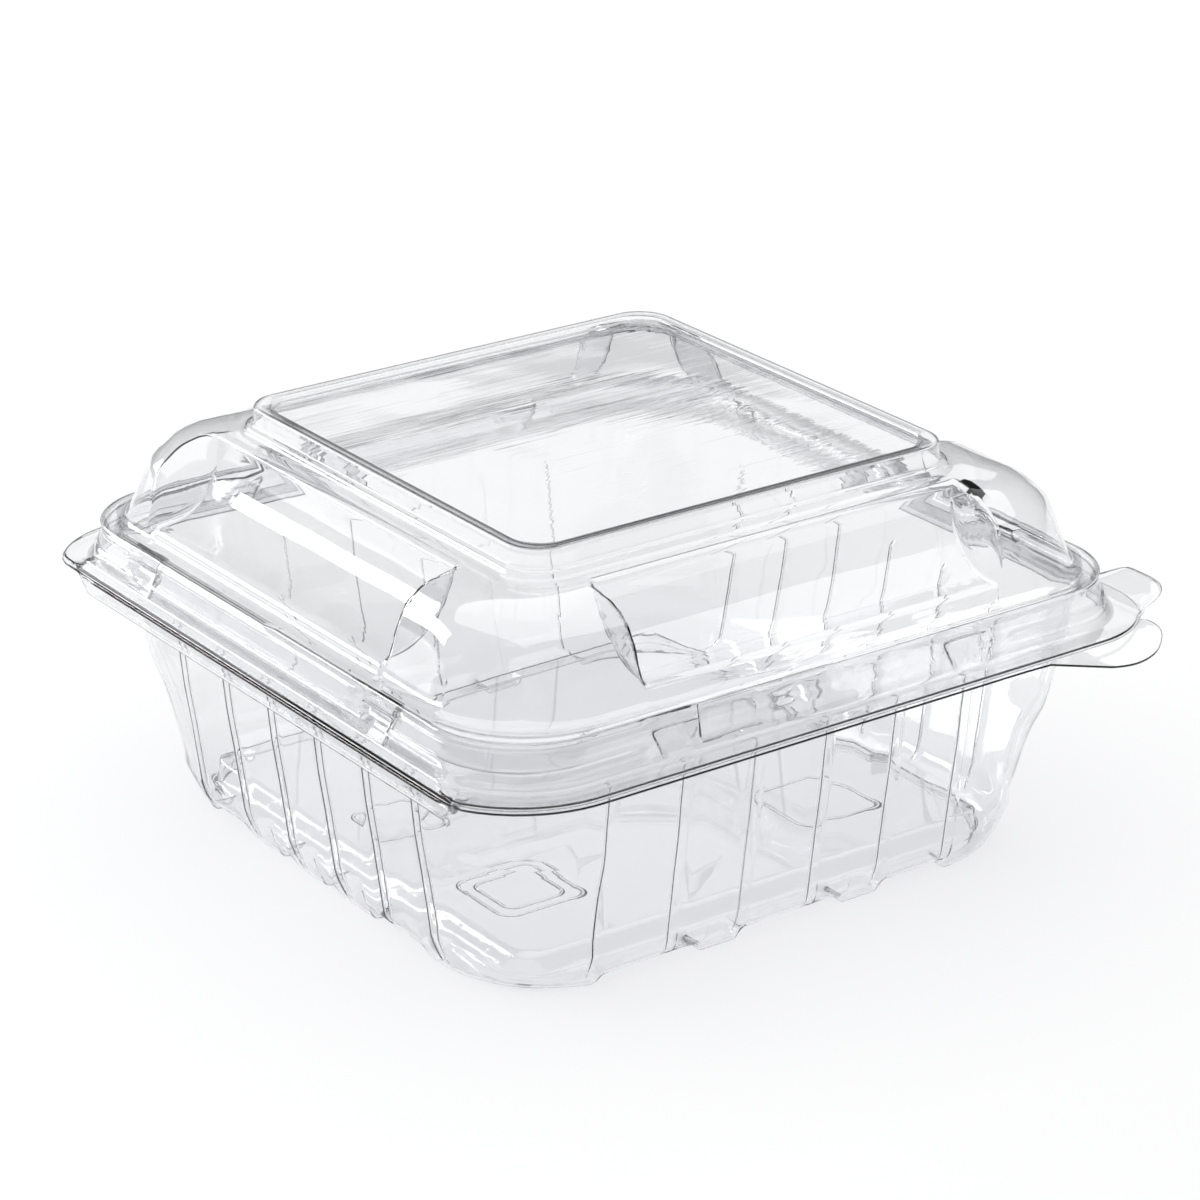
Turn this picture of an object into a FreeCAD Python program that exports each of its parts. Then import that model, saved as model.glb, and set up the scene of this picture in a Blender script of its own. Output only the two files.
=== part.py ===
import FreeCAD, Part
import math
import os

V = FreeCAD.Vector

# A hinged clear pack, formed in one piece from plastic sheet. It is built closed, standing on its feet.
# It is drawn about the middle of the lid's raised top, and moved at the end so that the origin is on the
# ground under the middle of its whole outline with the tabs. +Z is up, the hinge runs along X at the
# back (+Y), and the finger tabs are at the front left corner (-X, -Y).

# Sheet, in millimetres
sheet = 0.4
slip = 0.4                  # room between the lid's skirt and the tray's rim
parting_gap = 0.6           # between the two flanges of the closed pack
hinge_gap = 0.1             # from the crease line to each half's outer edge

# Flange round both halves
flange_half = 80.0          # half the pack's width
flange_radius = 25.0
flange_height = 47.7        # top of the tray's flange above the ground
flange_width = 5.3          # from the lid's skirt to the flange's edge
crease_inset = 3.0          # the flange is cut straight along the crease

# Tray
rim_height = 8.4            # the tray's rim above its flange
rim_width = 5.5             # from the lid's skirt to the tray's body
rim_radius = 19.0
upper_draft = 2.0           # the body narrows by this from the flange to its waist
lower_draft = 3.7           # and by this from the waist to its foot
body_top_radius = 19.0
body_waist_radius = 22.0
body_foot_radius = 33.0
waist_drop = 18.7           # from the flange down to the waist
base_height = 2.2           # underside of the tray between its feet
base_round = 3.5

# Feet, in a ring round the base
foot_inset = 2.5            # from the body's foot to the ring
foot_width = 4.5
foot_radius = 30.5
foot_end_draft = 1.2
foot_root_inset = 1.2       # from the wall to the feet at their upper ends
corner_feet_x = (-34.5, 42.5)     # where the corner feet start along X
corner_feet_y = (-39.0, 43.0)     # and along Y
side_feet = ((-9.7, 11.0), (6.3, 10.0), (22.0, 11.0))    # middle along X and length
end_feet = ((15.4, 8.0), (-17.9, 8.0))                  # middle along Y and length

# Raised floor of the tray
floor_inset = 3.2           # from the ring of feet to the floor's edge
floor_radius = 7.0
floor_height = 6.0
floor_draft = 2.0

# Upright grooves in the tray's walls
groove_count = 6
groove_pitch = 16.2
groove_width = 1.3
groove_depth = 0.8
groove_shift = 4.0          # towards the hinge, on the two sides beside it
groove_drop = 4.7           # from the flange down to a groove's upper end
groove_rise = 0.8           # from the rounded base up to its lower end

# Lid
skirt_height = 8.7          # from the lid's flange to its shoulder
skirt_draft = 1.8
skirt_radius = 20.0
shoulder_width = 3.3
dome_height = 27.3          # from the lid's flange to the top of its dome
dome_draft = 3.4
dome_foot_radius = 21.0
dome_top_radius = 23.0
dome_round = 9.0
stack_inset = 17.2          # from the dome's wall to the square raised top
stack_height = 5.4          # the raised top above the dome
stack_draft = 0.5
stack_radius = 7.0
stack_round = 0.8
panel_inset = 3.5           # width of the rib round the raised top's panel
panel_radius = 6.5
panel_depth = 1.0

# Hollows in the middle of the lid's four sides
hollow_inset = 5.2          # from the raised top to a hollow's upper edge
hollow_radius = 13.3
hollow_rise = 3.3           # lowest line of a hollow above the shoulder
hollow_slope = 1.0
hollow_draft = 1.5
hinge_hollow = (-31.5, 46.5)      # start and end along X
side_hollow = (-42.0, 36.5)       # start and end along Y

# Locking lugs, pressed inwards in the lid's skirt, and the tray's slots for them
lug_width = 9.5
lug_foot_width = 6.0
lug_depth = 1.4
lug_foot_depth = 0.3
lug_height = 5.6
lug_side_play = 1.5
hinge_lugs = (45.0, -37.0)        # along X
side_lugs = (34.5, -31.5)         # along Y

# Hinge beads, an upper half on the lid and a lower half on the tray
bead_end_inset = 16.0       # from the flange's end to the bead's
bead_width = 5.1
bead_end_draft = 3.0
bead_side_draft = 0.5
upper_bead_height = 2.6
lower_bead_height = 4.6

# Finger tabs
tab_width = 19.0
tab_reach = 10.5
tab_round = 4.5
tab_corner_inset = 16.0     # from the flange's corner to a tab's middle
tab_bend_inset = 5.0        # from the flange's edge to the line where a tab bends
tab_angle = 14.0

corner_flats = 8            # in the quarter turn of each round corner
round_step = 3.0            # a rounded edge has a flat for each of these, and one more
beyond = 10.0               # how far a solid runs past what it cuts

hinge_y = flange_half - crease_inset
skirt_half = flange_half - flange_width
skirt_top_half = skirt_half - skirt_draft
dome_foot_half = skirt_top_half - shoulder_width
dome_top_half = dome_foot_half - dome_draft
stack_half = dome_top_half - stack_inset
panel_half = stack_half - panel_inset
hollow_half = stack_half + hollow_inset
body_top_half = skirt_half - rim_width
body_waist_half = body_top_half - upper_draft
body_foot_half = body_waist_half - lower_draft
foot_half = body_foot_half - foot_inset
foot_inner_half = foot_half - foot_width
floor_half = foot_inner_half - floor_inset
bead_half_length = flange_half - bead_end_inset
tab_root = flange_half - tab_corner_inset
tab_start = flange_half - tab_bend_inset

ring_top = base_height + base_round       # where the walls start above the rounded base
waist_height = flange_height - waist_drop
groove_top = flange_height - groove_drop
groove_foot = ring_top + groove_rise
rim_top = flange_height + rim_height
lid_floor = flange_height + parting_gap
shoulder = lid_floor + skirt_height + sheet
dome_top = lid_floor + sheet + dome_height
stack_top = dome_top + stack_height
hollow_foot = shoulder + hollow_rise


def rounded_square(half, radius, z):
    """A closed outline about the Z axis. Each round corner is drawn with short even flats."""
    straight = half - radius
    points = []
    for quarter in range(4):
        turn = FreeCAD.Rotation(V(0, 0, 1), 90 * quarter)
        for k in range(corner_flats + 1):
            angle = math.pi / 2 * k / corner_flats
            corner = V(straight + radius * math.cos(angle), straight + radius * math.sin(angle), z)
            points.append(turn.multVec(corner))
    return Part.makePolygon(points + points[:1])


def tapered(sections):
    """A solid through rounded squares, each given as half width, corner radius and height."""
    return Part.makeLoft([rounded_square(*s) for s in sections], True, True)


def tapered_box(low, high):
    """A solid between two rectangles, each given as x0, x1, y0, y1 and z."""
    wires = []
    for x0, x1, y0, y1, z in (low, high):
        corners = [V(x0, y0, z), V(x1, y0, z), V(x1, y1, z), V(x0, y1, z)]
        wires.append(Part.makePolygon(corners + corners[:1]))
    return Part.makeLoft(wires, True, True)


def turned(shape, degrees):
    """A copy turned about the Z axis."""
    copy = shape.copy()
    copy.rotate(V(0, 0, 0), V(0, 0, 1), degrees)
    return copy


def rounding(half, radius, crest, size, turn):
    """Rows that round off an edge, from the upright wall to the level face at the crest.
    Turn is 1 where the level face is on top and -1 where it is below."""
    steps = 1 + math.ceil(size / round_step)
    rows = []
    for k in range(steps + 1):
        angle = math.pi / 2 * k / steps
        inset = size * (1 - math.cos(angle))
        rows.append((half - inset, radius - inset, crest - turn * size * (1 - math.sin(angle))))
    return rows


def joined(shapes):
    return shapes[0].multiFuse(shapes[1:])


def body_half(z):
    """Half width of the tray's body at a height."""
    if z < waist_height:
        share = (z - base_height) / (waist_height - base_height)
        return body_foot_half + share * (body_waist_half - body_foot_half)
    share = (z - waist_height) / (flange_height - waist_height)
    return body_waist_half + share * (body_top_half - body_waist_half)


def skirt_at(z):
    """Half width of the lid's skirt at a height."""
    share = (z - lid_floor) / (shoulder - lid_floor)
    return skirt_half + share * (skirt_top_half - skirt_half)


def groove_places(side):
    """Middle of each groove along its side. Side 0 is the hinge side, 1 the left side."""
    middle = (groove_count - 1) / 2
    shift = groove_shift if side % 2 else 0
    return [shift + (k - middle) * groove_pitch for k in range(groove_count)]


def grooves(grow):
    """The upright grooves, as solids to cut away, widened by a wall where they are seen from inside."""
    depth = groove_depth + grow
    half = groove_width / 2 + grow
    tools = []
    for side in range(4):
        for place in groove_places(side):
            low = (body_half(groove_foot) - depth, body_half(groove_foot) + beyond, groove_foot - grow)
            high = (body_half(groove_top) - depth, body_half(groove_top) + beyond, groove_top + grow)
            tools.append(on_side(side, place - half, place + half, low, high))
    return tools


def on_side(side, first, last, low, high, spread=0.0):
    """A tapered box on one side, from first to last along X or Y, wider by spread at its upper end.
    Low and high each give the inner distance, the outer distance and the height."""
    (low_in, low_out, low_z), (high_in, high_out, high_z) = low, high
    if side % 2 == 0:
        sign = 1 if side == 0 else -1
        rows = [(first, last, sign * low_in, sign * low_out, low_z)]
        rows.append((first - spread, last + spread, sign * high_in, sign * high_out, high_z))
    else:
        sign = -1 if side == 1 else 1
        rows = [(sign * low_in, sign * low_out, first, last, low_z)]
        rows.append((sign * high_in, sign * high_out, first - spread, last + spread, high_z))
    return tapered_box(*rows)


def tray_body(wall):
    """The tray's body without its rim, drawn in by a wall for the inside face."""
    top = rim_top + wall
    middle = (ring_top + waist_height) / 2
    rows = rounding(body_half(ring_top), body_foot_radius, base_height, base_round, -1)[::-1]
    rows += [
        (body_half(middle), (body_foot_radius + body_waist_radius) / 2, middle),
        (body_waist_half, body_waist_radius, waist_height),
        (body_top_half, body_top_radius, flange_height),
        (body_half(top), body_top_radius, top),
    ]
    # The inside face lies a wall further in, and a wall higher where the base is rounded.
    body = tapered([(half - wall, radius - wall, z + wall * (z < ring_top)) for half, radius, z in rows])
    floor_top = floor_height - sheet + wall
    platform = tapered(
        [
            (floor_half + floor_draft + wall, floor_radius + floor_draft + wall, base_height - beyond),
            (floor_half + floor_draft + wall, floor_radius + floor_draft + wall, base_height),
            (floor_half + wall, floor_radius + wall, floor_top),
        ]
    )
    feet = [foot.cut(platform) for foot in tray_feet(wall)]
    return joined([body.cut(platform)] + feet).cut(joined(grooves(wall)))


def tray_feet(wall):
    """Four corner feet and the short feet between them, each tapering down to the ground."""
    ring = tapered(
        [
            (foot_half - wall, foot_radius - wall, wall),
            (body_half(ring_top) - foot_root_inset - wall, body_foot_radius - wall, ring_top),
        ]
    )
    inner = foot_inner_half + wall
    core = tapered([(inner, foot_radius, 0), (inner - base_round, foot_radius, ring_top)])
    ring = ring.cut(core)
    blocks = []
    for x in corner_feet_x:
        for y in corner_feet_y:
            rows = []
            for draft, z in ((0, 0), (foot_end_draft, ring_top)):
                xs = sorted((x + math.copysign(wall - draft, x), math.copysign(flange_half, x)))
                ys = sorted((y + math.copysign(wall - draft, y), math.copysign(flange_half, y)))
                rows.append((*xs, *ys, z))
            blocks.append(tapered_box(*rows))
    for side in range(4):
        for middle, length in end_feet if side % 2 else side_feet:
            half = length / 2 - wall
            blocks.append(on_side(side, middle - half, middle + half,
                                  (0, flange_half, 0), (0, flange_half, ring_top), foot_end_draft))
    return [ring.common(block) for block in blocks]


def rim_block(wall, below=0.0):
    """The solid under the tray's raised rim, which fits inside the lid's skirt."""
    inset = sheet + slip + wall
    radius = rim_radius - wall
    rows = []
    if below:
        rows.append((skirt_at(lid_floor) - inset, radius, flange_height - below))
    rows.append((skirt_at(lid_floor) - inset, radius, flange_height - sheet))
    rows.append((skirt_at(rim_top) - inset, radius, rim_top - wall))
    return tapered(rows)


def lug_tools(grow, play, top):
    """The locking lugs as tapered solids that reach inwards from the skirt."""
    foot = lid_floor + sheet
    head = foot + lug_height + grow
    tools = []
    for side in range(4):
        for place in side_lugs if side % 2 else hinge_lugs:
            half = lug_foot_width / 2 + grow + play
            spread = (lug_width - lug_foot_width) / 2
            low_in = skirt_at(foot) - lug_foot_depth - grow
            high_in = skirt_at(head) - lug_depth - grow
            tools.append(on_side(side, place - half, place + half,
                                 (low_in, flange_half, foot), (high_in, flange_half, head), spread))
            if top:
                tools.append(on_side(side, place - half - spread, place + half + spread,
                                     (high_in, flange_half, head), (high_in, flange_half, top)))
    return tools


def flange_plate(z):
    """One flange: a plate with round corners, cut straight along the crease."""
    plate = Part.Face(rounded_square(flange_half, flange_radius, z)).extrude(V(0, 0, sheet))
    keep = Part.makeBox(
        2 * flange_half, flange_half + hinge_y - hinge_gap, sheet, V(-flange_half, -flange_half, z)
    )
    return plate.common(keep)


def bead(z, height, wall):
    """One half of the hinge bead, from the flange to its crest. A negative height hangs down."""
    outer = hinge_y - hinge_gap
    drop = math.copysign(wall, height)
    half = bead_half_length - wall
    rows = (
        (-half, half, outer - bead_width + wall, outer - wall, z),
        (
            -half + bead_end_draft,
            half - bead_end_draft,
            outer - bead_width + bead_side_draft + wall,
            outer - bead_side_draft - wall,
            z + height - drop,
        ),
    )
    return tapered_box(*rows)


def tab_outline(z):
    """A finger tab with round ends, standing out along -Y from its bend line."""
    x0, x1 = -tab_root - tab_width / 2 + tab_round, -tab_root + tab_width / 2 - tab_round
    y = -tab_start - tab_reach + tab_round
    bend = tab_round * math.sqrt(0.5)
    left, right = x0 - tab_round, x1 + tab_round
    edges = [
        Part.LineSegment(V(right, -tab_start, z), V(left, -tab_start, z)).toShape(),
        Part.LineSegment(V(left, -tab_start, z), V(left, y, z)).toShape(),
        Part.Arc(V(left, y, z), V(x0 - bend, y - bend, z), V(x0, y - tab_round, z)).toShape(),
        Part.LineSegment(V(x0, y - tab_round, z), V(x1, y - tab_round, z)).toShape(),
        Part.Arc(V(x1, y - tab_round, z), V(x1 + bend, y - bend, z), V(right, y, z)).toShape(),
        Part.LineSegment(V(right, y, z), V(right, -tab_start, z)).toShape(),
    ]
    return Part.Face(Part.Wire(edges))


def with_tab(flange, z, angle, mirrored):
    """A flange whose corner runs out into a finger tab, bent up or down by an angle."""
    tab = tab_outline(z).extrude(V(0, 0, sheet))
    level = z if angle > 0 else z + sheet
    room = Part.makeBox(tab_width, beyond, sheet, V(-tab_root - tab_width / 2, -tab_start - beyond, z))
    tab.rotate(V(0, -tab_start, level), V(1, 0, 0), -angle)
    if mirrored:
        swap = FreeCAD.Matrix(0, 1, 0, 0, 1, 0, 0, 0, 0, 0, 1, 0, 0, 0, 0, 1)
        tab, room = tab.transformGeometry(swap), room.transformGeometry(swap)
    return flange.cut(room).fuse(tab)


def build_tray():
    flange = with_tab(flange_plate(flange_height - sheet), flange_height - sheet, -tab_angle, True)
    hollow = rim_block(sheet, beyond)
    # The rim and the bead are hollowed before the body goes in, so that they leave its wall whole.
    skin = joined([
        rim_block(0).cut(joined(lug_tools(slip, lug_side_play, rim_top + beyond))),
        flange,
        bead(flange_height, -lower_bead_height, 0),
    ])
    skin = skin.cut(hollow.cut(joined(lug_tools(slip + sheet, lug_side_play, rim_top + beyond))))
    skin = skin.cut(bead(flange_height, -lower_bead_height, sheet).cut(rim_block(0, beyond)))
    return skin.fuse(tray_body(0)).cut(tray_body(sheet))


def hollow_tools(wall):
    """The concave hollows in the lid's sides, widened by a wall where they are seen from inside."""
    radius = hollow_radius + wall
    axis, level = hollow_half + hollow_radius, hollow_foot + hollow_radius
    bend = radius * math.sqrt(0.5)
    tools = []
    for side in range(4):
        first, last = side_hollow if side % 2 else hinge_hollow
        start = V(0, axis - radius, level)
        middle = V(0, axis - bend, level - bend)
        end = V(0, axis, level - radius)
        rim = V(0, axis + beyond, level - radius - hollow_slope)
        edges = [
            Part.Arc(start, middle, end).toShape(),
            Part.LineSegment(end, rim).toShape(),
            Part.LineSegment(rim, V(0, axis + beyond, stack_top)).toShape(),
            Part.LineSegment(V(0, axis + beyond, stack_top), V(0, axis - radius, stack_top)).toShape(),
            Part.LineSegment(V(0, axis - radius, stack_top), start).toShape(),
        ]
        length = 2 * flange_half
        tool = Part.Face(Part.Wire(edges)).extrude(V(length, 0, 0))
        tool.translate(V(-flange_half, 0, 0))
        tool = turned(tool, 90 * side)
        ends = on_side(side, first - wall, last + wall, (0, flange_half + beyond, shoulder),
                       (0, flange_half + beyond, stack_top), hollow_draft)
        tools.append(tool.common(ends))
    return tools


def lid_form(wall):
    """The lid without its flange, as a solid, drawn in by a wall for the inside face."""
    skirt_rows = [(skirt_half, skirt_radius, lid_floor), (skirt_top_half, skirt_radius, shoulder - wall)]
    if wall:
        skirt_rows.insert(0, (skirt_half, skirt_radius, lid_floor - beyond))
    skirt = tapered([(half - wall, radius - wall, z) for half, radius, z in skirt_rows])
    skirt = skirt.cut(joined(lug_tools(wall, 0, 0)))
    dome = tapered(
        [(dome_foot_half - wall, dome_foot_radius - wall, lid_floor)]
        + rounding(dome_top_half - wall, dome_top_radius - wall, dome_top - wall, dome_round - wall, 1)
    )
    dome = dome.cut(joined(hollow_tools(wall)))
    stack_crest = stack_half - stack_draft - wall
    stack = tapered(
        [(stack_half - wall, stack_radius - wall, shoulder)]
        + rounding(stack_crest, stack_radius - wall, stack_top - wall, stack_round - wall / 2, 1)
    )
    panel_floor = stack_top - panel_depth - wall
    panel = tapered(
        [
            (panel_half + wall, panel_radius + wall, panel_floor),
            (panel_half + wall, panel_radius + wall, stack_top + beyond),
        ]
    )
    return joined([skirt, dome, stack]).cut(panel)


def build_lid():
    flange = with_tab(flange_plate(lid_floor), lid_floor, tab_angle, False)
    outside = joined([lid_form(0), flange, bead(lid_floor, upper_bead_height, 0)])
    inside = lid_form(sheet).fuse(bead(lid_floor, upper_bead_height, sheet))
    return outside.cut(inside)


def save(shape, name):
    (shape,) = shape.Solids
    shape.exportStep("parts/" + name + ".step")
    print(name, "valid", shape.isValid(), "volume", round(shape.Volume, 1), shape.BoundBox)


def centred(shapes):
    """The shapes, moved together so that the origin lies under the middle of them all."""
    corners = [corner.Point for shape in shapes for corner in shape.Vertexes]
    xs, ys = [c.x for c in corners], [c.y for c in corners]
    for shape in shapes:
        shape.translate(V(-(min(xs) + max(xs)) / 2, -(min(ys) + max(ys)) / 2, 0))
    return shapes


os.makedirs("parts", exist_ok=True)
tray, lid = centred([build_tray(), build_lid()])
save(tray, "tray")
save(lid, "lid")
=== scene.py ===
import math

import bmesh
import bpy
from mathutils import Matrix, Vector


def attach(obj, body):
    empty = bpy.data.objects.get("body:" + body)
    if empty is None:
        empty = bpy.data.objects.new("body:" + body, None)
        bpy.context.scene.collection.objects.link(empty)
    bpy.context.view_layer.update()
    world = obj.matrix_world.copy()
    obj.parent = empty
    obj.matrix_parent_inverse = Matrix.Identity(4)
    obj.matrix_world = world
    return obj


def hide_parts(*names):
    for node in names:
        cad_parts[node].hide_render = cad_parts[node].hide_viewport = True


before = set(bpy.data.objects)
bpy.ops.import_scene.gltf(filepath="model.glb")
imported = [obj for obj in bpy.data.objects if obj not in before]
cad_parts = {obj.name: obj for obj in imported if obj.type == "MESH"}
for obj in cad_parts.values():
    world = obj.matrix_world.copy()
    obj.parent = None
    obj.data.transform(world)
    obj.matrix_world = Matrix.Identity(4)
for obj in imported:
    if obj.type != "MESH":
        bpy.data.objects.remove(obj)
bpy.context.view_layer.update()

# Sizes in millimetres, drawn about the middle of the raised top: +Z up, the hinge along X at the back (+Y).
MM = 0.001
MIDDLE = (2.594, 4.144)   # the raised top's middle in the part's frame
SHEET = 0.4
CREASE_Y = 76.9
CREASE_Z = 48.0
FLANGE_HALF, FLANGE_RADIUS = 80.0, 25.0
TAB_FOLD = 75.5           # how far out the finger tabs start to tilt
CORNER = 60.0            # a column's nominal place at the 45 degree point of a corner
KEEP = 50.0              # columns nearer the middle than this run straight up the sides

# How much tighter than the near one the two corners seen in outline are
FORMED_TIGHTER = 4.0
FLANGE_TIGHTER = 5.0
BASE_TIGHTER = 10.0
DOME_FULLER = 0.8         # and how far out their dome stands
NEAR_BASE_SHARE = 0.8     # the near corner's share of the base's tightening

HINGE_SIDE, LEFT_SIDE, FRONT_SIDE, RIGHT_SIDE = range(4)


def smooth(start, end, x):
    """0 at start, 1 at end, with an even ease between."""
    share = min(1.0, max(0.0, (x - start) / (end - start)))
    return share * share * (3 - 2 * share)


def within(low, high, edge, x):
    """1 between low and high, easing to 0 over an edge outside them."""
    return smooth(low - edge, low, x) * (1 - smooth(high, high + edge, x))


def mix(a, b, share):
    return a + (b - a) * share


def curve_through(points, steps=12):
    """A smooth line through the points, as many short steps."""
    points = [Vector(p) for p in points]
    ends = [points[0] * 2 - points[1]] + points + [points[-1] * 2 - points[-2]]
    line = [points[0]]
    for a, b, c, d in zip(ends, ends[1:], ends[2:], ends[3:]):
        for k in range(1, steps + 1):
            t = k / steps
            line.append(0.5 * ((2 * b) + (c - a) * t + (2 * a - 5 * b + 4 * c - d) * t * t
                               + (3 * b - a - 3 * c + d) * t * t * t))
    return line


def spread(points, count, eased=True):
    """Count places at even distances on the smooth line through the points."""
    line = curve_through(points) if eased else [Vector(p) for p in points]
    lengths = [0.0]
    for a, b in zip(line, line[1:]):
        lengths.append(lengths[-1] + (b - a).length)
    found = []
    k = 0
    for n in range(count):
        goal = lengths[-1] * n / (count - 1)
        while k < len(lengths) - 2 and lengths[k + 1] < goal:
            k += 1
        span = lengths[k + 1] - lengths[k]
        found.append(line[k].lerp(line[k + 1], (goal - lengths[k]) / span if span else 0.0))
    return found


def columns(pitch, clusters, fan_low=12, fan_high=12):
    """Nominal places of the upright columns of one side: even ones, close ones round each
    feature's edge, and a fan to the 45 degree point of each corner."""
    count = round(2 * KEEP / pitch)
    places = {round(-KEEP + 2 * KEEP * k / count, 3) for k in range(count + 1)}
    for centre, offsets in clusters:
        near = [p for p in places if abs(p - centre) < max(offsets) + 0.45 and abs(p) < KEEP]
        places.difference_update(near)
        places.update(round(centre + o, 3) for o in offsets)
    places = {p for p in places if abs(p) <= KEEP}
    low = [-CORNER + (CORNER - KEEP) * k / fan_low for k in range(fan_low)]
    high = [CORNER - (CORNER - KEEP) * k / fan_high for k in range(fan_high)]
    return sorted(places | set(low) | set(high))


def on_outline(t, half, radius):
    """A column's place on a rounded square: its distance along the side and out from the middle."""
    turn = half - radius + radius * math.sqrt(0.5)
    keep = min(KEEP, turn - 4)
    a = abs(t)
    if a > keep:
        a = keep + (a - keep) * (turn - keep) / (CORNER - keep)
    past = a - (half - radius)
    out = half if past <= 0 else half - radius + math.sqrt(max(0.0, radius * radius - past * past))
    return math.copysign(a, t), out


def sharper(side, t):
    """1 at the two corners seen in outline, which are tighter than the near one, and 0 elsewhere."""
    towards_right = side in (HINGE_SIDE, RIGHT_SIDE)
    return 1.0 if (t > 0) == towards_right else 0.0


def point(x, y, z):
    return Vector((x + MIDDLE[0], y + MIDDLE[1], max(0.0, z))) * MM


def at_side(side, t, out, z):
    """The point at a distance t along a side and out from the middle."""
    return point(*((t, out), (-out, t), (t, -out), (out, t))[side], z)


def level_middle(places, half, radius, z):
    """The grid's points over the level middle, whose edge is a rounded square."""
    turn = half - radius + radius * math.sqrt(0.5)

    def spot(i, j):
        tx, ty = places[0][i], places[1][j]
        x, x_out = on_outline(tx, half, radius)
        y, y_out = on_outline(ty, half, radius)
        x *= mix(1.0, y_out / turn, abs(tx) / CORNER)
        y *= mix(1.0, x_out / turn, abs(ty) / CORNER)
        return point(x, y, z)

    return spot


def wrapped(name, places, middle, place, rows):
    """A formed sheet: a grid for its level middle, and sides extruded row by row from the grid's edge."""
    last_i, last_j = len(places[0]) - 1, len(places[1]) - 1
    bm = bmesh.new()
    bmesh.ops.create_grid(bm, x_segments=last_i, y_segments=last_j, size=1)
    tag = bm.verts.layers.float_vector.new("column")
    for v in bm.verts:
        i, j = round((v.co.x + 1) / 2 * last_i), round((v.co.y + 1) / 2 * last_j)
        v.co = middle(i, j)
        if j in (0, last_j):
            v[tag] = (FRONT_SIDE if j == 0 else HINGE_SIDE, places[0][i], 0)
        else:
            v[tag] = (LEFT_SIDE if i == 0 else RIGHT_SIDE, places[1][j], 0)
    edges = [e for e in bm.edges if e.is_boundary]
    for row in range(rows):
        made = bmesh.ops.extrude_edge_only(bm, edges=edges)["geom"]
        edges = [g for g in made if isinstance(g, bmesh.types.BMEdge)]
        for v in made:
            if isinstance(v, bmesh.types.BMVert):
                side, t, _ = v[tag]
                v.co = place(round(side), t, row)
    mesh = bpy.data.meshes.new(name)
    bm.to_mesh(mesh)
    bm.free()
    piece = bpy.data.objects.new(name, mesh)
    bpy.context.scene.collection.objects.link(piece)
    return piece


# Places of what is formed into the sides, along X on the hinge side and the front, along Y on the others
HINGE_HOLLOW = (-31.5, 46.5)
SIDE_HOLLOW = (-42.0, 36.5)
HINGE_LUGS = (45.0, -37.0)
SIDE_LUGS = (34.5, -31.5)
LUG_TOP_HALF = 4.7
LUG_FOOT_HALF = 2.7
LUG_TOP = 53.9
LUG_FOOT = 48.6
LUG_DEPTHS = (0.35, 1.5)  # at its foot and its top
SLOT_DEPTH = 1.9
BAND_DEPTH = 0.55         # the raised bands round the skirt's corners
BAND_HEIGHTS = (50.2, 51.9)
BAND_STARTS = (41.0, 43.4)
PATCH_DEPTH = 0.5         # the shallow rectangle in the left side's skirt
PATCH_HEIGHTS = (50.2, 56.4)
PATCH_SPAN = (17.6, 28.9)
GROOVE_PITCH = 16.2
GROOVE_SHIFT = 4.0
GROOVE_DEPTH = 0.8
GROOVE_WIDTHS = (0.15, 0.95)
BEAD_HALF = 64.0
CREASE_INSET, CREASE_RADIUS, CREASE_HALF = 0.55, 0.45, 65.0
TAB_TILT = math.radians(14)

END_STEPS = (-3.2, -2.4, -1.8, -1.3, -0.9, -0.5, -0.2, 0.1, 0.4, 0.8, 1.3, 1.9, 2.6)
LUG_STEPS = (-6.2, -5.3, -4.8, -4.4, -3.9, -3.4, -2.9, -2.4, -1.8, -0.9, 0.0,
             0.9, 1.8, 2.4, 2.9, 3.4, 3.9, 4.4, 4.8, 5.3, 6.2)
GROOVE_STEPS = (-1.4, -0.9, -0.6, -0.3, 0.0, 0.3, 0.6, 0.9, 1.4)
FOOT_STEPS = (-1.2, -0.7, -0.2, 0.3, 0.8)


# The lid

PANEL_Z = 80.4
PANEL_HALF, PANEL_RADIUS = 45.2, 6.4
LID_FLANGE_Z = 48.7

lid_stack_rows = [
    (45.45, 6.5, 80.42), (45.7, 6.5, 80.55), (45.85, 6.6, 80.85), (46.05, 6.7, 81.2), (46.4, 6.8, 81.4),
    (47.9, 6.9, 81.4), (48.3, 7.0, 81.3), (48.55, 7.1, 80.95), (48.65, 7.2, 80.3), (48.8, 7.3, 79.0),
    (48.9, 7.4, 78.1), (49.0, 7.5, 77.8), (49.25, 7.6, 77.65), (49.7, 7.8, 77.6), (49.95, 8.0, 77.4),
    (50.1, 8.1, 77.0), (50.25, 8.3, 76.5), (50.6, 8.7, 76.2), (51.2, 9.3, 76.08), (52.6, 10.6, 76.0),
]
dome_line = [(54.2, 75.9), (57.6, 75.3), (61.0, 74.2), (63.6, 72.3), (65.4, 69.6), (66.5, 66.6),
             (67.4, 63.2), (68.2, 60.6), (68.9, 58.4), (69.4, 57.65), (70.4, 57.4)]
hollow_line = [(54.2, 75.9), (54.25, 74.6), (54.8, 71.5), (56.4, 67.3), (59.1, 63.9), (62.6, 61.7),
               (66.6, 60.8), (68.2, 60.55), (68.9, 60.1), (69.25, 59.2), (69.5, 58.0), (69.8, 57.5), (70.5, 57.4)]
DOME_COUNT = 26
DOME_SIDE = (57.6, 70.0)  # heights between which the dome's sides are steep
lid_dome_rows = [(p.x, z_radius, p.y) for p, z_radius in zip(
    spread(dome_line, DOME_COUNT), [12.3 + 9.0 * smooth(0, 14, k) for k in range(DOME_COUNT)])]
lid_hollow_rows = spread(hollow_line, DOME_COUNT)
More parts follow.
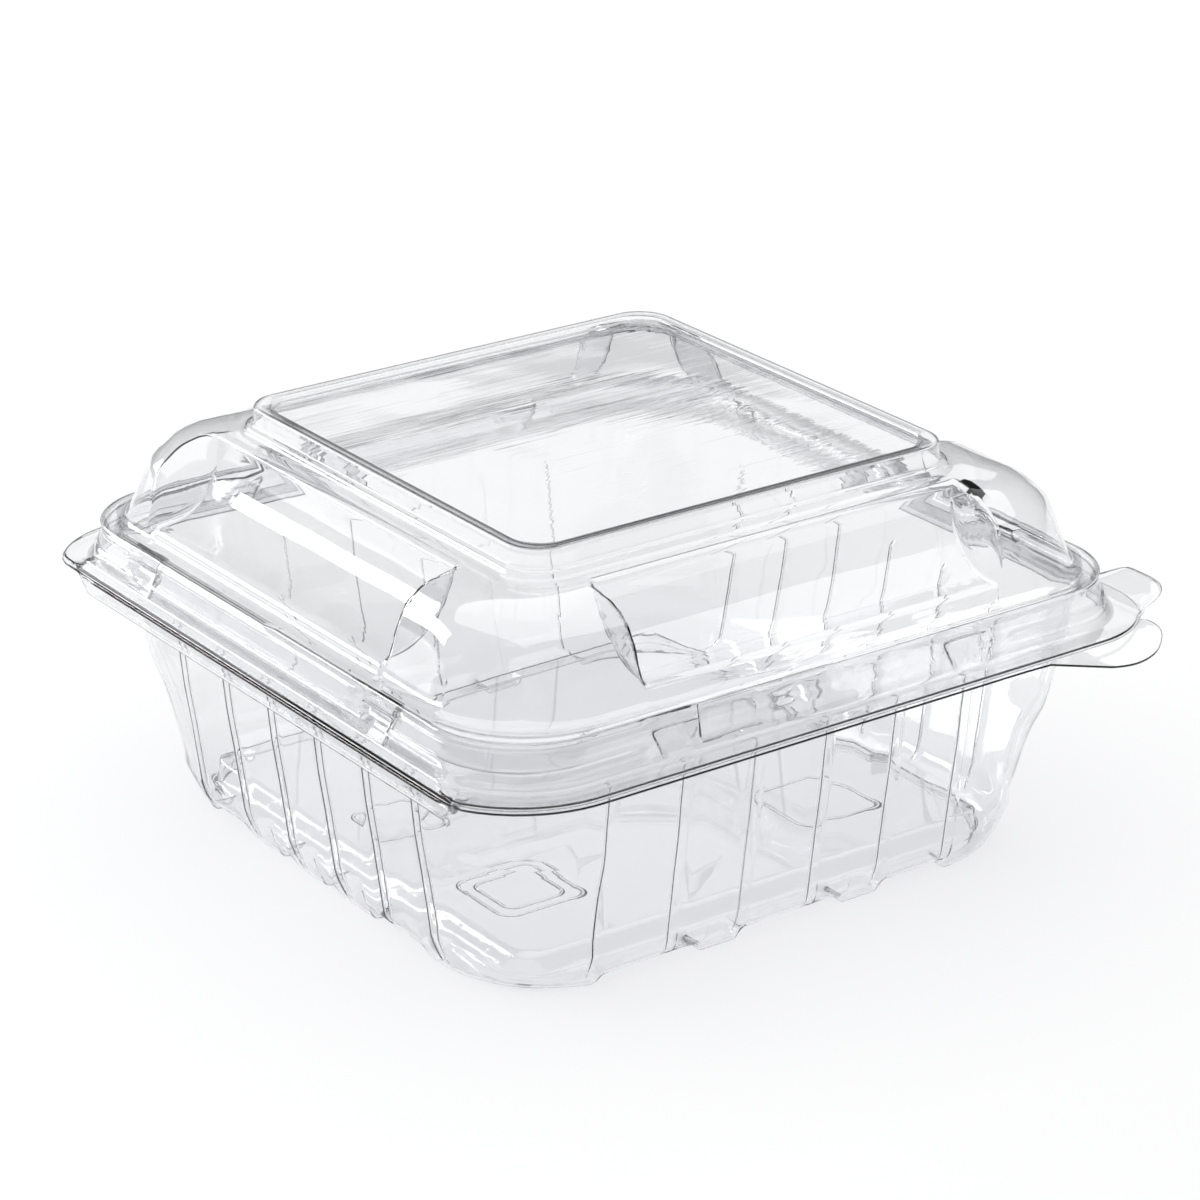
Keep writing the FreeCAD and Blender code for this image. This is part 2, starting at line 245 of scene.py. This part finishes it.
lid_skirt_rows = [
    (71.2, 21.2, 57.4), (71.9, 21.2, 57.38), (72.4, 21.0, 57.2), (72.7, 20.9, 56.85), (72.85, 20.8, 56.3),
    (73.0, 20.8, 55.6), (73.15, 20.7, 54.9), (73.3, 20.6, 54.3), (73.36, 20.6, 54.0), (73.42, 20.6, 53.75),
    (73.5, 20.5, 53.3), (73.65, 20.4, 52.7), (73.75, 20.4, 52.3), (73.85, 20.4, 51.9), (74.0, 20.3, 51.2),
    (74.1, 20.2, 50.7), (74.25, 20.1, 50.0), (74.4, 20.1, 49.5), (74.6, 20.1, 49.1), (74.95, 20.3, 48.8),
    (75.5, 20.8, LID_FLANGE_Z),
]
FLANGE_SHARES = (0.12, 0.26, 0.4, 0.54, 0.68, 0.8, 0.9, 0.95, 0.98, 1.0)
LIP_START = 0.93
lid_rows = lid_stack_rows + lid_dome_rows + lid_skirt_rows
LID_DOME_START = len(lid_stack_rows)
LID_SKIRT_START = LID_DOME_START + DOME_COUNT
LID_COUNT = len(lid_rows) + len(FLANGE_SHARES)
SKIRT_ROWS_ABOVE_BEAD = 14
LID_BEAD_START = LID_SKIRT_START + SKIRT_ROWS_ABOVE_BEAD
upper_bead_rows = spread([(74.0, 51.35), (74.35, 51.0), (74.9, 50.9), (75.8, 50.9), (76.35, 50.75), (76.7, 50.3),
                          (76.85, 49.6), (76.9, 48.45)], LID_COUNT - LID_BEAD_START, False)


def flange_edge(side, t, tab):
    """A column's place on the flange's cut edge: a rounded square, straight at the crease,
    that runs out into a finger tab at its corner."""
    along, out = on_outline(t, FLANGE_HALF, FLANGE_RADIUS - FLANGE_TIGHTER * sharper(side, t))
    if side == HINGE_SIDE:
        out = min(out, CREASE_Y)
    if side == tab["side"] and t < tab["start"]:
        return tab["line"](t)
    return along, out


def tab_line(points, start):
    """The finger tab's outline, shared out among the columns between the flange and the corner."""
    line = spread(points, 200)

    def found(t):
        share = (start - t) / (CORNER + start)
        p = line[min(199, max(0, round(share * 199)))]
        return p.x, p.y

    return found


LID_TAB = {"side": FRONT_SIDE, "start": -48.0}
LID_TAB["line"] = tab_line([
    (-48.0, 80.0), (-53.5, 80.0), (-56.0, 80.7), (-57.1, 83.2), (-58.6, 84.9), (-61.5, 85.1),
    (-66.5, 84.9), (-69.6, 83.6), (-71.4, 81.2), (-72.3, 77.6), (-74.142, 74.142),
], LID_TAB["start"])
TRAY_TAB = {"side": LEFT_SIDE, "start": -44.0}
TRAY_TAB["line"] = tab_line([
    (-44.0, 80.0), (-50.0, 80.7), (-54.5, 82.4), (-59.0, 84.3), (-64.0, 85.0), (-69.0, 83.9),
    (-72.6, 81.6), (-75.2, 78.6), (-75.3, 75.6), (-74.142, 74.142),
], TRAY_TAB["start"])


def lug(side, along, z):
    """1 inside a locking lug, 0 outside it."""
    share = (z - LUG_FOOT) / (LUG_TOP - LUG_FOOT)
    half = mix(LUG_FOOT_HALF, LUG_TOP_HALF, min(1.0, max(0.0, share)))
    up = smooth(LUG_TOP + 0.25, LUG_TOP - 0.15, z) * smooth(LUG_FOOT - 0.2, LUG_FOOT + 1.4, z)
    places = SIDE_LUGS if side in (LEFT_SIDE, RIGHT_SIDE) else HINGE_LUGS
    return up * max(within(p - half + 0.4, p + half - 0.4, 0.8, along) for p in places)


def lid_place(side, t, row):
    flange = row - len(lid_rows)
    if flange < 0:
        half, radius, z = lid_rows[row]
        tight = sharper(side, t) * smooth(LID_DOME_START - 3, LID_DOME_START + 8, row)
        half += DOME_FULLER * tight * within(*DOME_SIDE, 3.0, z)
        along, out = on_outline(t, half, radius - FORMED_TIGHTER * tight)
    else:
        half, radius, z = lid_rows[-1]
        foot, foot_out = on_outline(t, half, radius - FORMED_TIGHTER * sharper(side, t))
        edge, edge_out = flange_edge(side, t, LID_TAB)
        share = FLANGE_SHARES[flange]
        along, out = mix(foot, edge, share), mix(foot_out, edge_out, share)
        z -= SHEET * smooth(LIP_START, 1.0, share)
        if side == FRONT_SIDE:
            lift = smooth(-50.0, -60.0, along)
            z += lift * math.tan(TAB_TILT) * max(0.0, out - TAB_FOLD)
    if LID_DOME_START <= row < LID_SKIRT_START:
        first, last = SIDE_HOLLOW if side in (LEFT_SIDE, RIGHT_SIDE) else HINGE_HOLLOW
        hollow = lid_hollow_rows[row - LID_DOME_START]
        slant = 0.12 * (hollow.y - 60)
        share = within(first - slant, last + slant, 1.5, along)
        out, z = mix(out, hollow.x, share), mix(z, hollow.y, share)
    if LID_SKIRT_START <= row and flange < 0:
        depth = mix(*LUG_DEPTHS, (z - LUG_FOOT) / (LUG_TOP - LUG_FOOT))
        out -= depth * lug(side, along, z)
        out += BAND_DEPTH * within(*BAND_HEIGHTS, 0.55, z) * smooth(*BAND_STARTS, abs(along))
        if side == LEFT_SIDE:
            out -= PATCH_DEPTH * within(*PATCH_HEIGHTS, 0.5, z) * within(*PATCH_SPAN, 0.8, along)
    if side == HINGE_SIDE and row >= LID_BEAD_START:
        bead = upper_bead_rows[row - LID_BEAD_START]
        share = smooth(BEAD_HALF + 0.8, BEAD_HALF - 2.6, abs(along))
        out, z = mix(out, bead.x, share), mix(z, bead.y, share)
    return at_side(side, along, out, z)


def build_lid():
    x_places = columns(2.3, [(HINGE_HOLLOW[0], END_STEPS), (HINGE_HOLLOW[1] - 1.2, END_STEPS),
                             (HINGE_LUGS[0] - 6.4, (-2.0, -1.0, 0.0)), (HINGE_LUGS[1], LUG_STEPS)], 22, 12)
    y_places = columns(2.3, [(SIDE_HOLLOW[0], END_STEPS), (SIDE_HOLLOW[1] + 2.2, END_STEPS),
                             (SIDE_LUGS[0] - 3.3, (-2.0, -1.5, -1.0, -0.5, 0.0, 0.5, 1.2)),
                             (SIDE_LUGS[1], LUG_STEPS)], 14, 12)
    middle = level_middle((x_places, y_places), PANEL_HALF, PANEL_RADIUS, PANEL_Z)
    return wrapped("lid_shell", (x_places, y_places), middle, lid_place, LID_COUNT)


# The tray

TRAY_FLOOR_Z = 5.6
FLOOR_HALF, FLOOR_RADIUS = 52.9, 6.9
TRAY_FLANGE_Z = 47.3
RIM_TOP, RIM_MIDDLE = 55.9, 71.0

tray_floor_rows = [
    (53.2, 7.0, 5.57), (53.5, 7.1, 5.4), (53.7, 7.3, 5.05), (54.2, 7.8, 4.1), (54.7, 8.3, 3.1), (54.95, 8.6, 2.65),
    (55.25, 9.0, 2.35), (55.8, 9.6, 2.2),
]
plain_base = [(56.3, 2.2), (59.4, 2.2), (60.6, 2.3), (61.8, 2.75), (62.8, 3.6), (63.5, 4.8), (63.9, 6.2),
              (64.15, 8.0)]
foot_base = [(56.3, 2.2), (56.55, 1.2), (56.85, 0.45), (57.5, 0.03), (58.6, 0.0), (59.9, 0.0), (60.7, 0.2),
             (61.3, 0.9), (62.1, 2.6), (63.0, 4.7), (63.7, 6.5), (64.15, 8.0)]
BASE_COUNT = 18
BASE_START_RADIUS = 10.2
BASE_DIAGONAL = 74.6      # from the middle to where a corner's base starts
tray_base_rows = [(p.x, mix(BASE_START_RADIUS, 32.5, smooth(0, 11, k)), p.y)
                  for k, p in enumerate(spread(plain_base, BASE_COUNT))]
tray_foot_rows = [(p.x, mix(BASE_START_RADIUS, 31.5, smooth(0, 5, k)), p.y)
                  for k, p in enumerate(spread(foot_base, BASE_COUNT))]
tray_wall_rows = [
    (64.5, 32.0, 10.5), (64.9, 30.8, 13.5), (65.4, 29.2, 17.0), (65.85, 27.6, 20.5), (66.4, 25.8, 24.0),
    (66.8, 24.0, 26.6), (67.05, 22.8, 28.2), (67.2, 22.0, 29.3), (67.35, 21.5, 30.6), (67.6, 21.0, 33.0),
    (67.9, 20.5, 36.0), (68.3, 20.0, 39.0), (68.55, 19.7, 41.3), (68.65, 19.6, 42.3), (68.75, 19.5, 43.2),
    (68.85, 19.4, 44.2), (69.1, 19.2, 46.5), (69.4, 19.0, 49.5), (69.8, 19.0, 52.5), (70.05, 19.0, 54.4),
    (70.2, 19.0, 55.1), (70.45, 19.1, 55.55), (70.9, 19.2, 55.7), (71.6, 19.2, 55.7), (72.05, 19.2, 55.55),
    (72.3, 19.2, 55.15), (72.45, 19.1, 54.6), (72.6, 19.0, 54.0), (72.75, 19.0, 53.4), (73.0, 19.0, 52.2),
    (73.25, 18.9, 50.8), (73.45, 18.8, 49.4), (73.55, 18.8, 48.4), (73.7, 18.9, 47.8), (74.0, 19.1, 47.45),
    (74.6, 19.6, TRAY_FLANGE_Z),
]
tray_rows = tray_floor_rows + tray_base_rows + tray_wall_rows
TRAY_BASE_START = len(tray_floor_rows)
TRAY_WALL_START = TRAY_BASE_START + BASE_COUNT
TRAY_COUNT = len(tray_rows) + len(FLANGE_SHARES)
WALL_ROWS_IN_BEAD = 4
TRAY_BEAD_START = len(tray_rows) - WALL_ROWS_IN_BEAD
lower_bead_rows = spread([(73.55, 48.4), (73.2, 46.8), (72.7, 45.0), (72.6, 43.9), (72.95, 43.3), (73.8, 43.1),
                          (75.4, 43.1), (76.2, 43.35), (76.6, 44.0), (76.75, 45.4), (76.9, 47.3)],
                         TRAY_COUNT - TRAY_BEAD_START, False)

# Bare frames formed into the floor: middle, half width and corner radius; and their ridge, from its
# inner foot over its crown to inside the sheet
FLOOR_FRAMES = (
    (-29.5, 38.0, 9.0, 3.2), (-29.5, 38.0, 6.4, 2.2), (8.0, 40.0, 7.0, 2.4), (-32.0, -30.0, 9.0, 3.2),
)
FRAME_STEPS = 10
FRAME_RIDGE = (
    (-0.45, -0.02), (-0.3, 0.2), (-0.12, 0.32), (0.12, 0.32), (0.3, 0.2), (0.45, -0.02), (0.0, -0.2),
)

# Where the feet stand, along X on the hinge side and the front, and along Y on the others
X_FEET = ((-CORNER - 20, -34.5), (-15.4, -4.0), (1.4, 11.2), (16.8, 27.4), (42.5, CORNER + 20))
Y_FEET = ((-CORNER - 20, -39.0), (-21.8, -14.0), (11.5, 19.3), (43.0, CORNER + 20))


def groove_places(side):
    shift = GROOVE_SHIFT if side in (LEFT_SIDE, RIGHT_SIDE) else 0.0
    return [shift + (k - 2.5) * GROOVE_PITCH for k in range(6)]


def groove(side, along, z):
    """How deep an upright groove is, from 0 to 1."""
    nearest = min(abs(along - p) for p in groove_places(side))
    return (1 - smooth(*GROOVE_WIDTHS, nearest)) * smooth(43.4, 42.0, z) * smooth(2.2, 3.6, z)


def tray_corner(side, t, z):
    """How much tighter than its row a corner of the tray is at a height."""
    tighter = mix(BASE_TIGHTER, FORMED_TIGHTER, smooth(2.0, 30.0, z))
    near_share = NEAR_BASE_SHARE * (1 - smooth(4.0, 26.0, z))
    return tighter * mix(near_share, 1.0, sharper(side, t))


def base_outline(side, t, half, radius, z, row):
    """A column's place on the tray's base, whose corners never turn back in under the floor."""
    radius -= tray_corner(side, t, z) * smooth(TRAY_BASE_START, TRAY_BASE_START + 8, row)
    widest = (half * math.sqrt(2) - BASE_DIAGONAL) / (math.sqrt(2) - 1)
    return on_outline(t, half, min(radius, widest) if row < TRAY_WALL_START else radius)


def tray_place(side, t, row):
    flange = row - len(tray_rows)
    if flange < 0:
        half, radius, z = tray_rows[row]
        along, out = base_outline(side, t, half, radius, z, row)
    else:
        half, radius, z = tray_rows[-1]
        foot, foot_out = on_outline(t, half, radius - FORMED_TIGHTER * sharper(side, t))
        edge, edge_out = flange_edge(side, t, TRAY_TAB)
        share = FLANGE_SHARES[flange]
        along, out = mix(foot, edge, share), mix(foot_out, edge_out, share)
        if side == LEFT_SIDE:
            drop = smooth(-46.0, -57.0, along)
            z -= drop * math.tan(TAB_TILT) * max(0.0, out - TAB_FOLD)
    if TRAY_BASE_START <= row < TRAY_WALL_START:
        feet = Y_FEET if side in (LEFT_SIDE, RIGHT_SIDE) else X_FEET
        share = max(within(low, high, 1.1, along) for low, high in feet)
        half, radius, foot_z = tray_foot_rows[row - TRAY_BASE_START]
        foot_along, foot_out = base_outline(side, t, half, radius, foot_z, row)
        along, out, z = mix(along, foot_along, share), mix(out, foot_out, share), mix(z, foot_z, share)
    if TRAY_BASE_START <= row < TRAY_WALL_START + 16:
        out -= GROOVE_DEPTH * groove(side, along, z)
    if LUG_FOOT - 0.2 < z < RIM_TOP and out > RIM_MIDDLE:
        out -= SLOT_DEPTH * lug(side, along, min(z, LUG_TOP - 0.4))
    if side == HINGE_SIDE and row >= TRAY_BEAD_START:
        bead = lower_bead_rows[row - TRAY_BEAD_START]
        share = smooth(BEAD_HALF + 0.8, BEAD_HALF - 2.6, abs(along))
        out, z = mix(out, bead.x, share), mix(z, bead.y, share)
    return at_side(side, along, out, z)


def build_tray():
    x_clusters = [(p, GROOVE_STEPS) for p in groove_places(HINGE_SIDE)]
    y_clusters = [(p, GROOVE_STEPS) for p in groove_places(LEFT_SIDE)]
    x_clusters += [(edge, FOOT_STEPS) for low, high in X_FEET for edge in (low, high) if abs(edge) < KEEP]
    y_clusters += [(edge, FOOT_STEPS) for low, high in Y_FEET for edge in (low, high) if abs(edge) < KEEP]
    places = columns(5.0, x_clusters, 10, 10), columns(5.0, y_clusters, 18, 10)
    middle = level_middle(places, FLOOR_HALF, FLOOR_RADIUS, TRAY_FLOOR_Z)
    return wrapped("tray_shell", places, middle, tray_place, TRAY_COUNT)


def finish_shell(piece, outwards, node, plastic, cut_edge_painted_shade):
    """Smooth faces that point out of the sheet, a wall's thickness, a finish for the faces, and a near-black
    painted shade on the cut edge.
    """
    bm = bmesh.new()
    bm.from_mesh(piece.data)
    bm.faces.ensure_lookup_table()
    bm.normal_update()
    if bm.faces[0].normal.dot(Vector(outwards)) < 0:
        bmesh.ops.reverse_faces(bm, faces=bm.faces)
    for face in bm.faces:
        face.smooth = True
    bm.to_mesh(piece.data)
    bm.free()
    wall = piece.modifiers.new("wall", "SOLIDIFY")
    wall.thickness = SHEET * MM
    wall.offset = -1
    wall.use_even_offset = False
    # the rim faces, the sheet's cut edge, take the second material: a near-black painted shade
    wall.material_offset_rim = 1
    piece.data.materials.append(plastic)
    piece.data.materials.append(cut_edge_painted_shade)
    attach(piece, node)
    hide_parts(node)


# Finishes

def node_tree(owner):
    owner.use_nodes = True
    owner.node_tree.nodes.clear()
    return owner.node_tree


def math_node(tree, kind, *values):
    """A number worked out from sockets and fixed values."""
    node = tree.nodes.new("ShaderNodeMath")
    node.operation = kind
    for slot, value in zip(node.inputs, values):
        if isinstance(value, bpy.types.NodeSocket):
            tree.links.new(value, slot)
        else:
            slot.default_value = value
    return node.outputs[0]


def stretched(tree, place, scales):
    """The place, with each axis to its own scale."""
    node = tree.nodes.new("ShaderNodeVectorMath")
    node.operation = "MULTIPLY"
    tree.links.new(place, node.inputs[0])
    node.inputs[1].default_value = scales
    return node.outputs["Vector"]


def noise_node(tree, place, scale, detail=1.0):
    node = tree.nodes.new("ShaderNodeTexNoise")
    node.inputs["Scale"].default_value = scale
    node.inputs["Detail"].default_value = detail
    tree.links.new(place, node.inputs["Vector"])
    return node.outputs["Fac"]


def level_of(tree, place, z):
    """1 on the face at this height, in metres, and 0 elsewhere."""
    parts = tree.nodes.new("ShaderNodeSeparateXYZ")
    tree.links.new(place, parts.inputs[0])
    return math_node(tree, "COMPARE", parts.outputs["Z"], z, 0.00012)


def panel_ripples(tree, place):
    """Fine drawn-out ripples along Y on the outside of the lid's panel."""
    long = stretched(tree, place, (560.0, 14.0, 0.0))
    broad = stretched(tree, place, (60.0, 30.0, 0.0))
    strength = math_node(tree, "MULTIPLY_ADD", noise_node(tree, broad, 1.0), 2.4, -0.6)
    ripples = math_node(tree, "MULTIPLY", noise_node(tree, long, 1.0, 2.0), strength)
    return math_node(tree, "MULTIPLY", ripples, level_of(tree, place, PANEL_Z * MM))


def add_bump(tree, height, distance, below=None):
    bump = tree.nodes.new("ShaderNodeBump")
    bump.inputs["Strength"].default_value = 1.0
    bump.inputs["Distance"].default_value = distance
    tree.links.new(height, bump.inputs["Height"])
    if below is not None:
        tree.links.new(below, bump.inputs["Normal"])
    return bump.outputs["Normal"]


def clear_plastic(name, tint, relief=None, depth=0.0):
    """Clear sheet, a little wavy, that lets light through to what it shades."""
    material = bpy.data.materials.new(name)
    tree = node_tree(material)
    nodes, links = tree.nodes, tree.links
    out = nodes.new("ShaderNodeOutputMaterial")
    body = nodes.new("ShaderNodeBsdfPrincipled")
    body.inputs["Base Color"].default_value = tint + (1,)
    body.inputs["Roughness"].default_value = 0.0
    body.inputs["IOR"].default_value = 1.5
    body.inputs["Transmission Weight"].default_value = 1.0
    place = nodes.new("ShaderNodeTexCoord").outputs["Object"]
    normal = add_bump(tree, noise_node(tree, place, 45.0), 0.0001)
    if relief:
        normal = add_bump(tree, relief(tree, place), depth, normal)
    links.new(normal, body.inputs["Normal"])
    light = nodes.new("ShaderNodeLightPath").outputs
    onto_floor = math_node(tree, "MAXIMUM", light["Is Shadow Ray"], light["Is Diffuse Ray"])
    clear = nodes.new("ShaderNodeBsdfTransparent")
    clear.inputs["Color"].default_value = (0.96, 0.96, 0.965, 1)
    either = nodes.new("ShaderNodeMixShader")
    links.new(onto_floor, either.inputs["Fac"])
    links.new(body.outputs["BSDF"], either.inputs[1])
    links.new(clear.outputs["BSDF"], either.inputs[2])
    links.new(either.outputs["Shader"], out.inputs["Surface"])
    return material


def floor_finish():
    material = bpy.data.materials.new("pale_floor")
    tree = node_tree(material)
    nodes, links = tree.nodes, tree.links
    out = nodes.new("ShaderNodeOutputMaterial")
    matt = nodes.new("ShaderNodeBsdfDiffuse")
    matt.inputs["Color"].default_value = (0.93, 0.93, 0.93, 1)
    links.new(matt.outputs["BSDF"], out.inputs["Surface"])
    return material


# Studio

def build_floor():
    bm = bmesh.new()
    bmesh.ops.create_grid(bm, x_segments=1, y_segments=1, size=6.0)
    mesh = bpy.data.meshes.new("floor")
    bm.to_mesh(mesh)
    bm.free()
    floor = bpy.data.objects.new("floor", mesh)
    bpy.context.scene.collection.objects.link(floor)
    mesh.materials.append(floor_finish())


def build_sky():
    world = bpy.data.worlds.new("studio")
    bpy.context.scene.world = world
    tree = node_tree(world)
    nodes, links = tree.nodes, tree.links
    out = nodes.new("ShaderNodeOutputWorld")
    room = nodes.new("ShaderNodeBackground")
    room.inputs["Color"].default_value = (0.95, 0.97, 1, 1)
    room.inputs["Strength"].default_value = 0.14
    links.new(room.outputs["Background"], out.inputs["Surface"])


def add_lamp(name, place, towards, size, power):
    lamp = bpy.data.lights.new(name, "AREA")
    lamp.shape = "RECTANGLE"
    lamp.size, lamp.size_y = size
    lamp.energy = power
    stand = bpy.data.objects.new(name, lamp)
    stand.location = place
    stand.rotation_euler = (Vector(towards) - Vector(place)).to_track_quat("-Z", "Y").to_euler()
    bpy.context.scene.collection.objects.link(stand)


def add_camera():
    eye = bpy.data.cameras.new("camera")
    eye.sensor_width = 36.0
    eye.lens = 123.8
    eye.clip_start, eye.clip_end = 0.01, 50.0
    camera = bpy.data.objects.new("camera", eye)
    back = -Vector((0.7487, -0.5384, -0.3868)).normalized()
    right = Vector((0, 0, 1)).cross(back).normalized()
    up = back.cross(right)
    turn = Matrix((right, up, back)).transposed().to_4x4()
    camera.matrix_world = Matrix.Translation(point(-596.6, 427.25, 352.3)) @ turn
    bpy.context.scene.collection.objects.link(camera)
    bpy.context.scene.camera = camera


def frame_corner(k, half, radius):
    """The kth point round a rounded square's four corners."""
    quarter, step = divmod(k, FRAME_STEPS)
    angle = (quarter + step / (FRAME_STEPS - 1)) * math.pi / 2
    middle_x = (half - radius) * (1, -1, -1, 1)[quarter]
    middle_y = (half - radius) * (1, 1, -1, -1)[quarter]
    return middle_x + radius * math.cos(angle), middle_y + radius * math.sin(angle)


def build_floor_frames(material):
    """Bare frames raised from the tray's floor, each a low ridge round a rounded square."""
    bm = bmesh.new()
    tag = bm.verts.layers.int.new("place")
    for x, y, half, radius in FLOOR_FRAMES:
        ring = bmesh.ops.create_circle(bm, cap_ends=False, segments=4 * FRAME_STEPS, radius=1)["verts"]
        for k, v in enumerate(ring):
            v[tag] = k
        edges = list(dict.fromkeys(e for v in ring for e in v.link_edges))
        for row, (away, up) in enumerate(FRAME_RIDGE + FRAME_RIDGE[:1]):
            if row:
                made = bmesh.ops.extrude_edge_only(bm, edges=edges)["geom"]
                edges = [g for g in made if isinstance(g, bmesh.types.BMEdge)]
                ring = [g for g in made if isinstance(g, bmesh.types.BMVert)]
            for v in ring:
                dx, dy = frame_corner(v[tag], half + away, radius + away)
                v.co = point(x + dx, y + dy, TRAY_FLOOR_Z + up)
    bmesh.ops.remove_doubles(bm, verts=bm.verts, dist=0.001 * MM)
    bmesh.ops.recalc_face_normals(bm, faces=bm.faces)
    for face in bm.faces:
        face.smooth = True
    mesh = bpy.data.meshes.new("floor_frames")
    bm.to_mesh(mesh)
    bm.free()
    piece = bpy.data.objects.new("floor_frames", mesh)
    bpy.context.scene.collection.objects.link(piece)
    mesh.materials.append(material)
    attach(piece, "tray")


def build_crease(material):
    """The folded crease line of the hinge, between the two halves."""
    bm = bmesh.new()
    middle = Matrix.Translation(point(0, CREASE_Y - CREASE_INSET, CREASE_Z))
    bmesh.ops.create_cone(bm, cap_ends=True, segments=16, radius1=CREASE_RADIUS * MM, radius2=CREASE_RADIUS * MM,
                          depth=2 * CREASE_HALF * MM, matrix=middle @ Matrix.Rotation(math.pi / 2, 4, "Y"))
    for face in bm.faces:
        face.smooth = len(face.verts) == 4
    mesh = bpy.data.meshes.new("hinge_crease")
    bm.to_mesh(mesh)
    bm.free()
    piece = bpy.data.objects.new("hinge_crease", mesh)
    bpy.context.scene.collection.objects.link(piece)
    mesh.materials.append(material)
    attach(piece, "tray")


tint = (0.945, 0.948, 0.955)
# Near-black tint for the sheet's cut edges and the hinge crease: painted shade for the dark lines the clear
# plastic shows there
cut_edge_painted_shade = clear_plastic("cut_edge_painted_shade", (0.12, 0.125, 0.13))
lid_plastic = clear_plastic("lid_plastic", tint, panel_ripples, 0.00003)
finish_shell(build_lid(), (0, 0, 1), "lid", lid_plastic, cut_edge_painted_shade)
tray_plastic = clear_plastic("tray_plastic", tint)
finish_shell(build_tray(), (0, 0, -1), "tray", tray_plastic, cut_edge_painted_shade)
build_floor_frames(tray_plastic)
# the crease takes the near-black cut edge tint: painted shade along the fold
build_crease(cut_edge_painted_shade)
build_floor()
build_sky()
add_lamp("top_light", (0.0, 0.0, 3.0), (0, 0, 0.04), (6.0, 6.0), 168.0)
add_lamp("side_light", (1.95, 1.27, 0.68), (0, 0.05, 0.06), (2.0, 0.62), 30.0)
add_lamp("far_light", (1.79, -1.28, 1.05), (0, 0, 0.08), (1.2, 0.36), 1.2)
add_camera()
scene = bpy.context.scene
scene.view_settings.view_transform = "Standard"
scene.cycles.max_bounces = 12
scene.cycles.transmission_bounces = 12
scene.cycles.glossy_bounces = 6
scene.cycles.transparent_max_bounces = 20
